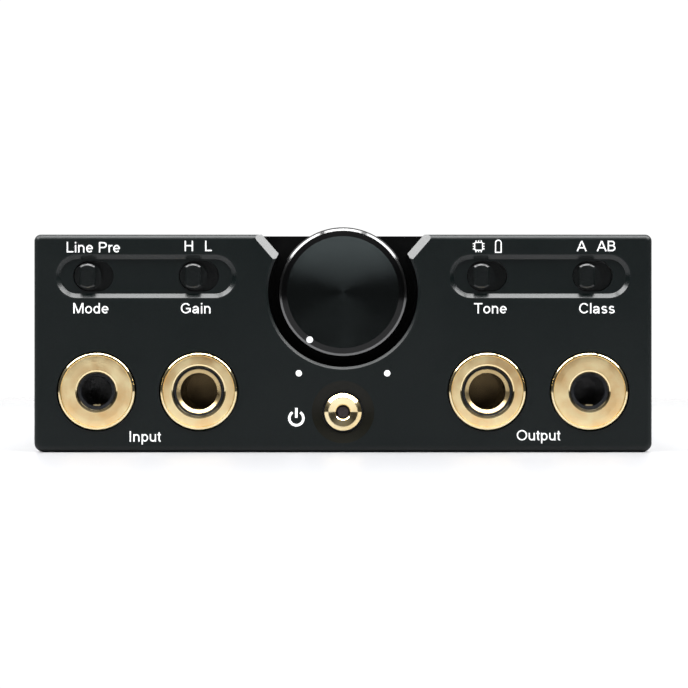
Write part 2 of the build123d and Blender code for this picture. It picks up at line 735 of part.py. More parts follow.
def tube_anodes():
    """Two anode plates in each tube, on the envelope's floor."""
    floor = TUBE_BOARD_TOP + CRADLE_HEIGHT + TUBE_WALL
    plates = []
    for side in (-1, 1):
        for shift in (-6.0, 6.0):
            x = side * (WINDOW_X - 1.5) + shift
            depths = (WINDOW_MID_DEPTH - 4.0, WINDOW_MID_DEPTH + 4.0)
            plates.append(block((x - 3.5, x + 3.5), depths, (floor, floor + 1.4)))
    return plates


def tube_cradles():
    """Soft strips that carry each tube clear of its board."""
    strips = []
    for side in (-1, 1):
        for shift in (-10.0, 10.0):
            x = side * (WINDOW_X - 1.5) + shift
            depths = (WINDOW_MID_DEPTH - 6.5, WINDOW_MID_DEPTH + 6.5)
            strips.append(block((x - 1.5, x + 1.5), depths, (TUBE_BOARD_TOP, TUBE_BOARD_TOP + CRADLE_HEIGHT)))
    return strips


def capacitors():
    return [
        post(x, depth, 3.1, BOARD_TOP, BOARD_TOP + 9.0)
        for x in (-24.0, -16.0, 16.0, 24.0)
        for depth in (26.5, 36.0, 54.0)
    ]


def amplifier_chips():
    return [
        block((x - 2.5, x + 2.5), (depth - 2.0, depth + 2.0), (BOARD_TOP, BOARD_TOP + 1.6))
        for x in (-6.0, 6.0)
        for depth in (18.0, 27.0, 36.0, 45.0)
    ]


def relays():
    return [
        block((x - 3.2, x + 3.2), (43.0, 48.5), (BOARD_TOP, BOARD_TOP + 5.0))
        for x in (-22.0, 22.0)
    ]


def battery_socket():
    """The socket on the main board that the battery module's blades slide into."""
    socket = block((-8.0, 8.0), (61.0, 69.0), (BOARD_TOP, 8.6))
    for x in blade_places():
        socket -= block((x - 0.45, x + 0.45), (64.0, 70.0), (5.0, 7.2))
    return socket


def blade_places():
    return [-5.4, -1.8, 1.8, 5.4]


# ---- battery module ----

def cell_depths():
    return [CELL_FIRST_DEPTH + CELL_PITCH * step for step in range(CELL_COUNT)]


def cell_rod(depth, radius, length):
    lying = Pos(0, FRONT_Y + depth, MID_Z) * Rot(0, 90, 0)
    return lying * Cylinder(radius, length)


def battery_cells():
    return [cell_rod(depth, CELL_RADIUS, CELL_LENGTH) for depth in cell_depths()]


def battery_tray():
    """A moulded cradle with a hollow for each cell, and a floor that runs back to the end plate."""
    x_span = (-TRAY_HALF_WIDTH, TRAY_HALF_WIDTH)
    tray = block(x_span, (TRAY_FRONT, BATTERY_BOARD_DEPTH - 0.2), (TRAY_BOTTOM, TRAY_TOP))
    for depth in cell_depths():
        tray -= cell_rod(depth, CELL_RADIUS + CELL_GAP, CELL_LENGTH + 0.4)
    tray += block((-31.0, 31.0), (BATTERY_BOARD_DEPTH - 0.4, END_PLATE_DEPTH), (TRAY_BOTTOM, 3.8))
    return tray


def battery_board():
    depths = (BATTERY_BOARD_DEPTH, BATTERY_BOARD_DEPTH + 1.0)
    return block((-30.0, 30.0), depths, (3.9, 22.0))


def usb_c_socket():
    """A metal shell with a contact tongue, standing on the battery board."""
    front = BATTERY_BOARD_DEPTH + 1.0
    mouth = BODY_LENGTH - 0.1
    outer = SlotOverall(USB_WIDTH, USB_HEIGHT)
    inner = SlotOverall(USB_WIDTH - 2 * USB_WALL, USB_HEIGHT - 2 * USB_WALL)
    shell = prism(Pos(0, MID_Z) * outer, front, mouth)
    shell -= prism(Pos(0, MID_Z) * inner, front + 2.6, mouth + 1)
    return shell + prism(Pos(0, MID_Z) * Rectangle(6.6, 0.7), front + 2.0, mouth - 1.2)


def light_places():
    return [LIGHT_FIRST_X + LIGHT_PITCH * step for step in range(LIGHT_COUNT)]


def battery_led_pipes():
    front = BATTERY_BOARD_DEPTH + 1.0
    return [rod(x, MID_Z, LIGHT_RADIUS, front, BODY_LENGTH - 0.05) for x in light_places()]


def battery_check_button():
    """A small push button that is held behind the end plate by its flange."""
    button = rod(CHECK_X, MID_Z, CHECK_RADIUS, END_PLATE_DEPTH - 1.4, BODY_LENGTH - 0.15)
    button = fillet(button.edges().group_by(Axis.Y)[-1], 0.3)
    return button + rod(CHECK_X, MID_Z, CHECK_RADIUS + 0.7, END_PLATE_DEPTH - 1.4, END_PLATE_DEPTH - 0.1)


def battery_end_plate():
    plate = prism(body_outline(), END_PLATE_DEPTH, BODY_LENGTH)
    plate = fillet(plate.edges().group_by(Axis.Y)[-1], EDGE_RADIUS)
    inner, outer = END_PLATE_DEPTH - 1, BODY_LENGTH + 1
    plate -= slot(0, MID_Z, USB_WIDTH + 0.4, USB_HEIGHT + 0.4, inner, outer)
    for x in light_places():
        plate -= rod(x, MID_Z, LIGHT_RADIUS + 0.05, inner, outer)
    plate -= rod(CHECK_X, MID_Z, CHECK_RADIUS + 0.15, inner, outer)
    for side in (-1, 1):
        x = side * CAPTIVE_X
        plate -= rod(x, MID_Z, CAPTIVE_SHANK_RADIUS + 0.1, inner, outer)
        plate -= rod(x, MID_Z, CAPTIVE_HEAD_RADIUS + 0.15, BODY_LENGTH - 2.4, outer)
    return plate


def captive_screws():
    """Two slotted screws that hold the battery module in the sleeve."""
    screws = []
    for side in (-1, 1):
        x = side * CAPTIVE_X
        head = rod(x, MID_Z, CAPTIVE_HEAD_RADIUS, BODY_LENGTH - 2.3, BODY_LENGTH - 0.3)
        head = chamfer(head.edges().group_by(Axis.Y)[-1], 0.25)
        head -= block((x - 3, x + 3), (BODY_LENGTH - 1.1, BODY_LENGTH), (MID_Z - 0.3, MID_Z + 0.3))
        screws.append(head + rod(x, MID_Z, CAPTIVE_SHANK_RADIUS, 152.0, BODY_LENGTH - 2.3))
    return screws


def battery_plug():
    """The plug on the tray's front wall, with four blades."""
    plug = block((-7.2, 7.2), (69.2, TRAY_FRONT), (4.4, 7.8))
    for x in blade_places():
        plug += block((x - 0.35, x + 0.35), (64.8, 69.3), (5.2, 7.0))
    return plug


# ---- all nodes ----

def all_nodes():
    nodes = {
        "front_panel": front_panel(),
        "housing_sleeve": housing_sleeve(),
        "case_screws": case_screws(),
        "window_glass_left": window_glass(-1),
        "window_glass_right": window_glass(1),
        "window_gaskets": window_gaskets(),
        "main_board": main_board(),
        "switch_board": switch_board(),
        "board_link_header": board_link_header(),
        "board_screws": board_screws(),
        "tube_board": tube_board(),
        "tube_board_pillars": tube_board_pillars(),
        "triode_tube_left": triode_tube(-1),
        "triode_tube_right": triode_tube(1),
        "tube_anodes": tube_anodes(),
        "tube_cradles": tube_cradles(),
        "capacitors": capacitors(),
        "amplifier_chips": amplifier_chips(),
        "relays": relays(),
        "battery_socket": battery_socket(),
        "volume_pot_body": pot_body(),
        "volume_pot_bushing": pot_bushing(),
        "volume_pot_nut": pot_nut(),
        "volume_pot_shaft": pot_shaft(),
        "volume_knob": volume_knob(),
        "knob_grub_screw": knob_grub_screw(),
        "jack_barrels_44": jack_barrels(),
        "jack_contacts": jack_contacts(),
        "power_switch_body": power_switch_body(),
        "power_button": power_button(),
        "power_button_lens": power_button_lens(),
        "battery_end_plate": battery_end_plate(),
        "battery_tray": battery_tray(),
        "battery_cells": battery_cells(),
        "battery_board": battery_board(),
        "usb_c_socket": usb_c_socket(),
        "battery_plug": battery_plug(),
        "battery_led_pipes": battery_led_pipes(),
        "captive_screws": captive_screws(),
        "battery_check_button": battery_check_button(),
    }
    for name in SWITCH_X:
        nodes[name + "_slider_cap"] = slider_cap(name)
        nodes[name + "_switch_lever"] = switch_lever(name)
        nodes[name + "_switch_body"] = switch_body(name)
    for name, x in JACKS_35.items():
        nodes[name + "_jack_35_bezel"] = jack_bezel(x, INSERT_RADIUS_35)
        nodes[name + "_jack_35_body"] = jack_body_35(x)
    for name, x in JACKS_44.items():
        nodes[name + "_jack_44_bezel"] = jack_bezel(x, INSERT_RADIUS_44)
        nodes[name + "_jack_44_body"] = jack_body_44(x)
    return nodes


os.makedirs("parts", exist_ok=True)
for node, shape in all_nodes().items():
    solid_group = Compound(children=shape) if isinstance(shape, list) else shape
    export_step(solid_group, "parts/" + node + ".step")
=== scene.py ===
import math

import bmesh
import bpy
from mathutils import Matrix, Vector
from mathutils.bvhtree import BVHTree

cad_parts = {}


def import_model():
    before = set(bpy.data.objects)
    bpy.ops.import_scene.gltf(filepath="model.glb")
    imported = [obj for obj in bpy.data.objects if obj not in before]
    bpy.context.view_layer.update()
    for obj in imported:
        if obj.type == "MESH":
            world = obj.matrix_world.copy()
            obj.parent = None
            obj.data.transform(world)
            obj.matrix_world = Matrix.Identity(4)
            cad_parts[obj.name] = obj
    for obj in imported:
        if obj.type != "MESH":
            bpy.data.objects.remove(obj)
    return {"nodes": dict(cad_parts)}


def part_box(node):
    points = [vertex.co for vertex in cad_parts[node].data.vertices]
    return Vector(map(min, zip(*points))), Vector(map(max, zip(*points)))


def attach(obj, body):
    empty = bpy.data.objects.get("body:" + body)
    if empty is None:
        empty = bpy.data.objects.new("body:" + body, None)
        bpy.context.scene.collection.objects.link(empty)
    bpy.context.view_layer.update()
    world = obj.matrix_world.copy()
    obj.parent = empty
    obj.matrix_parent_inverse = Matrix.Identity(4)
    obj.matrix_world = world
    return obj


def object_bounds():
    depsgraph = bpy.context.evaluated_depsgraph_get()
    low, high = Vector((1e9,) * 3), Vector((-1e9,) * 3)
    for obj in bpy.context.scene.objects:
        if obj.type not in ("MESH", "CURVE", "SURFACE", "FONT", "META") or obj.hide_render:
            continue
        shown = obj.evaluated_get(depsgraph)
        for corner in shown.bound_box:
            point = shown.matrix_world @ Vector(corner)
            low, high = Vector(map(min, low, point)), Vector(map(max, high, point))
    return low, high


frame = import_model()
cad_low, cad_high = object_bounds()
NODES = frame["nodes"]
MM = 0.001
SWITCHES = ("mode", "gain", "timbre", "class")
SIDES = ("input", "output")
JACK_SIZES = ("35", "44")

# ---- places read from the frame ----

PANEL_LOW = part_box("front_panel")[0]
PANEL_Y = PANEL_LOW.y
KNOB_LOW, KNOB_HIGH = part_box("volume_knob")
KNOB_AXIS = (KNOB_LOW + KNOB_HIGH) / 2
BUTTON_LOW, BUTTON_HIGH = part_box("power_button")
BUTTON_AXIS = (BUTTON_LOW + BUTTON_HIGH) / 2

# ---- where one finish gives way to another, in millimetres ----

KNOB_FACE = 6.82
KNOB_RIM = 7.5
KNOB_DISH_DEPTH = 0.5
KNOB_RIM_DEPTH = 0.9
# Deeper than this, the jack barrels and the power button are painted dark as painted shade.
PAINTED_SHADE_DEPTH = 0.5
BEZEL_FACE = 4.28
INSERT_EDGES = {"35": 2.53, "44": 3.26}
BAY_RADIUS = 9.15
BAY_LIP = 0.35
BAY_BACK = 8.2
RECESS_SLOPE = (0.05, 0.44)
RECESS_ZONE = (18.0, 24.3)
RECESS_FROM_MIDDLE = 12.0
DISH_RADIUS = 3.95
DISH_EDGE = 0.02

# ---- print on the front panel, in millimetres ----

PRINT_THICKNESS = 0.03
PRINT_STEP = 0.0004
PRINT_SUNK = 0.01
CAP_HEIGHT = 1.28
STROKE = 0.122
UPPER_BASELINE = 24.35
LINE_PRE_BASELINE = 24.2
LOWER_BASELINE = 16.8
FOOT_BASELINE = 1.25
POWER_MARK_AT = (-5.66, 4.1)
POWER_RING = 0.85
POWER_STROKE = 0.31
CHIP_STROKE = 0.11
TUBE_STROKE = 0.13
VOLUME_DOT_X = 5.36
VOLUME_DOT_Z = 9.55
DOT_RADIUS = 0.38
KNOB_DOT_RADIUS = 0.41
KNOB_DOT_FROM_AXIS = 7.06
KNOB_DOT_STANDS = 0.05
KNOB_DOT_ANGLE = math.radians(35)

# ---- camera and light, in metres ----

CAMERA_DISTANCE = 0.44
CAMERA_HEIGHT = 0.0131
VIEW_WIDTH = 0.08345
SENSOR = 36.0
LAMP_DISTANCE = 0.6
LAMP_HALF_ANGLES = ((0.0, 17.0), (-38.5, 17.0), (38.5, 17.0))
LAMP_LENGTH = 0.55
LAMP_FORWARD = 0.12
LAMP_RADIANCE = 11.0
BACKDROP_LEVELS = ((-1.0, 0.05), (-0.5, 0.05), (0.0, 0.08), (0.5, 0.3), (0.8, 0.9), (1.0, 1.7))
OVERHEAD_LEVELS = ((-1.0, 0.0), (0.25, 0.0), (0.7, 0.3), (1.0, 0.3))
FLOOR_HALF = 0.42
FLOOR_SOLID = 0.22
FLOOR_DROP = 0.00005
FLOOR_COLOUR = (0.285, 0.287, 0.295, 1)


# ---- materials ----

class Surface:
    """A material with one Principled shader, and short ways to add the nodes that vary it."""

    def __init__(self, name, **sockets):
        self.material = bpy.data.materials.new(name)
        self.material.use_nodes = True
        self.tree = self.material.node_tree
        self.shader = self.tree.nodes["Principled BSDF"]
        for socket, value in sockets.items():
            self.set(socket, value)

    def set(self, socket, value):
        self.shader.inputs[socket.replace("_", " ")].default_value = value

    def node(self, kind, **settings):
        made = self.tree.nodes.new(kind)
        for key, value in settings.items():
            setattr(made, key, value)
        return made

    def link(self, source, target):
        self.tree.links.new(source, target)

    def place(self):
        """The piece's own coordinates, in metres."""
        return self.node("ShaderNodeTexCoord").outputs["Object"]

    def noise(self, per_metre, detail=4.0, roughness=0.55, stretch=None):
        texture = self.node("ShaderNodeTexNoise")
        texture.inputs["Scale"].default_value = per_metre
        texture.inputs["Detail"].default_value = detail
        texture.inputs["Roughness"].default_value = roughness
        where = self.place()
        if stretch:
            scale = self.node("ShaderNodeVectorMath", operation="MULTIPLY")
            scale.inputs[1].default_value = stretch
            self.link(where, scale.inputs[0])
            where = scale.outputs[0]
        self.link(where, texture.inputs["Vector"])
        return texture.outputs["Fac"]

    def spread(self, value, low, high, start=0.3, end=0.7):
        """Carries a 0 to 1 pattern over to a range of numbers."""
        remap = self.node("ShaderNodeMapRange")
        for name, number in zip(("From Min", "From Max", "To Min", "To Max"), (start, end, low, high)):
            remap.inputs[name].default_value = number
        self.link(value, remap.inputs["Value"])
        return remap.outputs["Result"]

    def blend(self, value, dark, light):
        mix = self.node("ShaderNodeMix", data_type="RGBA")
        mix.inputs["A"].default_value = (*dark, 1)
        mix.inputs["B"].default_value = (*light, 1)
        self.link(value, mix.inputs["Factor"])
        return mix.outputs["Result"]

    def colour_from(self, factor, dark, light):
        self.link(self.blend(factor, dark, light), self.shader.inputs["Base Color"])

    def roughness_from(self, value, low, high):
        self.link(self.spread(value, low, high), self.shader.inputs["Roughness"])

    def bump(self, height, strength, distance):
        bump = self.node("ShaderNodeBump")
        bump.inputs["Strength"].default_value = strength
        bump.inputs["Distance"].default_value = distance
        self.link(height, bump.inputs["Height"])
        self.link(bump.outputs["Normal"], self.shader.inputs["Normal"])
        return bump


def bead_blasted(name, dark, light, roughness=0.36, shine=0.42):
    """Dark anodised aluminium: a fine even grain, with faint broad clouding."""
    surface = Surface(name, Metallic=0.0, IOR=1.42, Specular_IOR_Level=shine)
    grain = surface.noise(5200, detail=3.0, roughness=0.7)
    clouds = surface.noise(60, detail=3.0)
    surface.colour_from(surface.spread(grain, 0, 1, 0.35, 0.7), dark, light)
    surface.roughness_from(clouds, roughness - 0.03, roughness + 0.05)
    surface.bump(grain, 0.32, 0.00003)
    return surface.material


def gold_plate(name, roughness, dark, light, marks=0.06):
    """Gold plate over turned brass: slight clouding and a fine grain."""
    surface = Surface(name, Metallic=1.0)
    clouds = surface.noise(420, detail=4.0)
    fine = surface.noise(9000, detail=2.0)
    surface.colour_from(surface.spread(clouds, 0, 1), dark, light)
    surface.roughness_from(clouds, roughness * 0.85, roughness * 1.15)
    surface.bump(fine, marks, 0.00001)
    return surface.material


def dark_plastic(name, colour, roughness=0.3, grain=3000, strength=0.15):
    surface = Surface(name)
    pattern = surface.noise(grain, detail=3.0)
    lighter = tuple(min(1.0, part * 1.5 + 0.003) for part in colour)
    surface.colour_from(surface.spread(pattern, 0, 1), colour, lighter)
    surface.roughness_from(pattern, roughness - 0.06, roughness + 0.08)
    surface.bump(pattern, strength, 0.00002)
    return surface.material


def bare_metal(name, colour, roughness=0.3, stretch=(1, 1, 1)):
    surface = Surface(name, Metallic=1.0)
    streaks = surface.noise(1500, detail=5.0, stretch=stretch)
    darker = tuple(part * 0.75 for part in colour)
    surface.colour_from(surface.spread(streaks, 0, 1), darker, colour)
    surface.roughness_from(streaks, roughness - 0.08, roughness + 0.1)
    surface.bump(streaks, 0.1, 0.00001)
    return surface.material


def gloss_black(name, roughness=0.12, ior=1.5):
    """Polished black: only faint smudges show in its shine."""
    surface = Surface(name, IOR=ior)
    smudge = surface.noise(250, detail=3.0)
    surface.colour_from(smudge, (0.0008, 0.0008, 0.0009), (0.0016, 0.0017, 0.0018))
    surface.roughness_from(smudge, roughness * 0.8, roughness * 1.3)
    return surface.material


def spun_black():
    """The knob's face, turned in fine circles about its axis, so that light fans out from the middle."""
    surface = Surface("knob_spun_face", IOR=1.78, Anisotropic=0.93, Specular_Tint=(0.84, 1, 1, 1))
    rings = surface.node("ShaderNodeTexWave", wave_type="RINGS", rings_direction="SPHERICAL")
    rings.inputs["Scale"].default_value = 1500
    rings.inputs["Distortion"].default_value = 0.6
    smudge = surface.noise(200, detail=3.0)
    surface.colour_from(smudge, (0.0007, 0.0008, 0.0008), (0.0015, 0.0017, 0.0017))
    surface.roughness_from(smudge, 0.125, 0.165)
    arm = surface.node("ShaderNodeVectorMath", operation="SUBTRACT")
    arm.inputs[1].default_value = tuple(KNOB_AXIS)
    surface.link(surface.node("ShaderNodeNewGeometry").outputs["Position"], arm.inputs[0])
    surface.link(arm.outputs[0], rings.inputs["Vector"])
    around = surface.node("ShaderNodeVectorMath", operation="CROSS_PRODUCT")
    around.inputs[1].default_value = (0, 1, 0)
    surface.link(arm.outputs[0], around.inputs[0])
    outward = surface.node("ShaderNodeVectorMath", operation="CROSS_PRODUCT")
    outward.inputs[1].default_value = (0, 1, 0)
    surface.link(around.outputs[0], outward.inputs[0])
    unit = surface.node("ShaderNodeVectorMath", operation="NORMALIZE")
    surface.link(outward.outputs[0], unit.inputs[0])
    surface.link(unit.outputs[0], surface.shader.inputs["Tangent"])
    surface.bump(rings.outputs["Fac"], 0.03, 0.000004)
    return surface.material


def print_white_painted_glow():
    surface = Surface("print_white_painted_glow", Roughness=0.5)
    ink = surface.noise(6000, detail=2.0)
    surface.colour_from(surface.spread(ink, 0, 1), (0.78, 0.79, 0.79), (0.95, 0.95, 0.95))
    # The print also gets a faint white glow, a painted glow that keeps it bright whatever the lamps.
    surface.set("Emission_Color", (1, 1, 1, 1))
    surface.set("Emission_Strength", 0.25)
    surface.bump(ink, 0.1, 0.00001)
    return surface.material


def window_finish():
    """Smoked glass."""
    surface = Surface("window_smoked", Roughness=0.04, IOR=1.5, Transmission_Weight=1.0)
    haze = surface.noise(120, detail=2.0)
    surface.colour_from(haze, (0.34, 0.36, 0.37), (0.4, 0.42, 0.43))
    return surface.material


def tube_finish():
    surface = Surface("tube_clear", Roughness=0.02, IOR=1.5, Transmission_Weight=1.0)
    haze = surface.noise(300, detail=2.0)
    surface.colour_from(haze, (0.9, 0.94, 0.94), (0.97, 0.99, 0.99))
    return surface.material


def board_finish():
    """Green solder mask with faint tracks."""
    surface = Surface("board_green", Roughness=0.35)
    tracks = surface.noise(900, detail=1.0, stretch=(1, 0.12, 1))
    surface.colour_from(surface.spread(tracks, 0, 1, 0.45, 0.55), (0.01, 0.05, 0.03), (0.02, 0.09, 0.05))
    surface.bump(tracks, 0.2, 0.00002)
    return surface.material


def paint(material, *names):
    for name in names:
        node = NODES[name]
        node.data.materials.clear()
        node.data.materials.append(material)


def paint_where(name, material, chosen):
    """Gives a second material to the faces of a node for which chosen(middle, normal) is true."""
    mesh = NODES[name].data
    mesh.materials.append(material)
    index = len(mesh.materials) - 1
    for face in mesh.polygons:
        if chosen(face.center, face.normal):
            face.material_index = index


def from_axis(point, axis):
    """Distance from an axis that runs front to back."""
    return math.hypot(point.x - axis.x, point.z - axis.z)


def paint_bay():
    """The knob's bay is painted a darker, barely reflecting black as painted shade, and the two bevels
    beside it are cut smooth after the blasting.
    """
    def in_bay(at, normal):
        return from_axis(at, KNOB_AXIS) < BAY_RADIUS * MM and BAY_LIP * MM < at.y - PANEL_Y < BAY_BACK * MM

    def on_bevel(at, normal):
        beside = BAY_RADIUS * MM < from_axis(at, KNOB_AXIS) < 2 * BAY_RADIUS * MM and at.z > KNOB_AXIS.z
        sloped = abs(normal.x) > 0.2 and normal.z > 0.1 and at.y - PANEL_Y < BAY_BACK * MM
        return beside and sloped

    # Painted shade: the bay's faces get a darker black that barely reflects, so the recess reads as deep
    # shade.
    paint_where("front_panel", gloss_black("bay_painted_shade", 0.4, 1.2), in_bay)
    cut = bead_blasted("bevel_cut", (0.004, 0.005, 0.005), (0.010, 0.012, 0.012), roughness=0.3, shine=0.85)
    paint_where("front_panel", cut, on_bevel)


def paint_recess_edges():
    """The slopes round the two switch recesses are a little smoother than the blasted face."""
    def on_slope(at, normal):
        depth = (at.y - PANEL_Y) / MM
        level = (at.z - PANEL_LOW.z) / MM
        beside = abs(at.x) > RECESS_FROM_MIDDLE * MM and RECESS_ZONE[0] < level < RECESS_ZONE[1]
        return beside and RECESS_SLOPE[0] < depth < RECESS_SLOPE[1] and abs(normal.y) < 0.95

    edge = bead_blasted("recess_edge", (0.001, 0.003, 0.003), (0.003, 0.006, 0.006), 0.24, 0.62)
    paint_where("front_panel", edge, on_slope)


def paint_dish():
    """The button's dish is a warmer, deeper black than the face round it."""
    def in_dish(at, normal):
        return from_axis(at, BUTTON_AXIS) < DISH_RADIUS * MM and at.y > PANEL_Y + DISH_EDGE * MM

    warm = bead_blasted("dish_black", (0.0024, 0.0022, 0.0006), (0.0046, 0.0044, 0.0018), shine=0.3)
    paint_where("front_panel", warm, in_dish)


def paint_case():
    slate = bead_blasted("panel_slate", (0.0006, 0.0022, 0.0023), (0.0018, 0.0046, 0.0046))
    paint(slate, "front_panel", "housing_sleeve", "battery_end_plate")
    paint_bay()
    paint_recess_edges()
    paint_dish()
    cap = bead_blasted("slider_satin", (0.002, 0.003, 0.003), (0.006, 0.008, 0.008), 0.2, 0.75)
    paint(cap, *[name + "_slider_cap" for name in SWITCHES], "battery_check_button")
    paint(window_finish(), "window_glass_left", "window_glass_right")
    paint(bare_metal("screw_black_steel", (0.08, 0.08, 0.085), 0.35), "case_screws", "captive_screws")
    paint(dark_plastic("light_pipe", (0.5, 0.52, 0.52), roughness=0.3), "battery_led_pipes")


def paint_jacks(polished, black):
    """Satin bezel faces between polished edges, over black bodies; the 4.4 mm barrels are duller gold,
    painted a much darker gold deep in their bores as painted shade.
    """
    satin = gold_plate("gold_satin", 0.4, (0.94, 0.63, 0.29), (1.0, 0.84, 0.49), marks=0.12)
    for size in JACK_SIZES:
        inner = INSERT_EDGES[size] * MM
        for side in SIDES:
            name = f"{side}_jack_{size}_bezel"
            paint(satin, name)
            low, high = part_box(name)
            middle = (low + high) / 2
            paint_where(name, polished, lambda at, n: not inner < from_axis(at, middle) < BEZEL_FACE * MM)
            paint(black, f"{side}_jack_{size}_body")
    paint(polished, "jack_contacts")
    paint(gold_plate("barrel_front", 0.28, (0.42, 0.31, 0.15), (0.56, 0.43, 0.23)), "jack_barrels_44")
    # Painted shade: faces of the barrels deeper than the shade depth get a dark brown gold.
    bore = gold_plate("barrel_bore_painted_shade", 0.22, (0.10, 0.07, 0.035), (0.18, 0.13, 0.065))
    paint_where("jack_barrels_44", bore, lambda at, n: at.y > PANEL_Y + PAINTED_SHADE_DEPTH * MM)


def paint_knob():
    """Gloss black with a spun face and a brightly polished outer edge."""
    paint(gloss_black("knob_gloss_black", ior=1.36), "volume_knob")
    face_back = KNOB_LOW.y + KNOB_DISH_DEPTH * MM
    on_face = lambda at, n: from_axis(at, KNOB_AXIS) < KNOB_FACE * MM and at.y < face_back
    paint_where("volume_knob", spun_black(), on_face)
    rim_back = KNOB_LOW.y + KNOB_RIM_DEPTH * MM
    on_rim = lambda at, n: from_axis(at, KNOB_AXIS) > KNOB_RIM * MM and at.y < rim_back
    paint_where("volume_knob", gloss_black("knob_rim_polish", 0.1, 2.2), on_rim)


def paint_button(polished, black):
    """Polished gold in front; its faces further back, down the gap round it, are painted black as painted
    shade.
    """
    paint(polished, "power_button")
    # Painted shade: the button's faces deeper than the shade depth take the black of the jack bodies.
    paint_where("power_button", black, lambda at, n: at.y > PANEL_Y + PAINTED_SHADE_DEPTH * MM)
    paint(dark_plastic("lens_dark", (0.018, 0.012, 0.014), roughness=0.15), "power_button_lens")


def paint_inside():
    paint(tube_finish(), "triode_tube_left", "triode_tube_right")
    paint(bare_metal("anode_grey", (0.35, 0.38, 0.38)), "tube_anodes")
    paint(dark_plastic("rubber_black", (0.01, 0.01, 0.01), roughness=0.7), "window_gaskets", "tube_cradles")
    paint(board_finish(), "main_board", "switch_board", "tube_board", "battery_board")
    steel = bare_metal("switch_steel", (0.62, 0.63, 0.65), stretch=(1, 8, 1))
    paint(steel, *[name + "_switch_body" for name in SWITCHES], "usb_c_socket")
    paint(steel, "volume_pot_shaft", "volume_pot_bushing", "volume_pot_nut")
    paint(bare_metal("screw_steel", (0.5, 0.5, 0.52)), "board_screws", "knob_grub_screw")
    paint(bare_metal("pillar_brass", (0.75, 0.58, 0.3)), "tube_board_pillars")
    component = dark_plastic("component_black", (0.015, 0.015, 0.016), roughness=0.5)
    paint(component, "amplifier_chips", "relays", "board_link_header", "battery_socket", "battery_plug")
    paint(component, "volume_pot_body", "power_switch_body", *[name + "_switch_lever" for name in SWITCHES])
    paint(bare_metal("capacitor_can", (0.42, 0.36, 0.22), roughness=0.4), "capacitors")
    paint(dark_plastic("cell_wrap", (0.02, 0.16, 0.13), roughness=0.3), "battery_cells")
    paint(dark_plastic("tray_black", (0.02, 0.02, 0.021), roughness=0.55), "battery_tray")


def paint_frame():
    polished = gold_plate("gold_polished", 0.1, (0.90, 0.70, 0.36), (0.97, 0.82, 0.52))
    black = dark_plastic("jack_black", (0.005, 0.0055, 0.007), roughness=0.16, strength=0.05)
    paint_case()
    paint_jacks(polished, black)
    paint_knob()
    paint_button(polished, black)
    paint_inside()


# ---- print on the panel ----

def on_panel(x, z):
    """A point on the panel's face, from millimetres across its middle and up from its foot."""
    return Vector((x * MM, PANEL_Y, PANEL_LOW.z + z * MM))


def finish_piece(piece, body, material):
    piece.data.materials.clear()
    piece.data.materials.append(material)
    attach(piece, body)


def arc(x, z, half_width, half_height, start, end, steps=14):
    """Points along part of an ellipse, from one angle to another in degrees, 0 pointing right and 90 up."""
    angles = [math.radians(start + (end - start) * step / steps) for step in range(steps + 1)]
    return [(x + half_width * math.cos(angle), z + half_height * math.sin(angle)) for angle in angles]


def loop(x, z, half_width, half_height):
    return arc(x, z, half_width, half_height, 0, 360, 32)


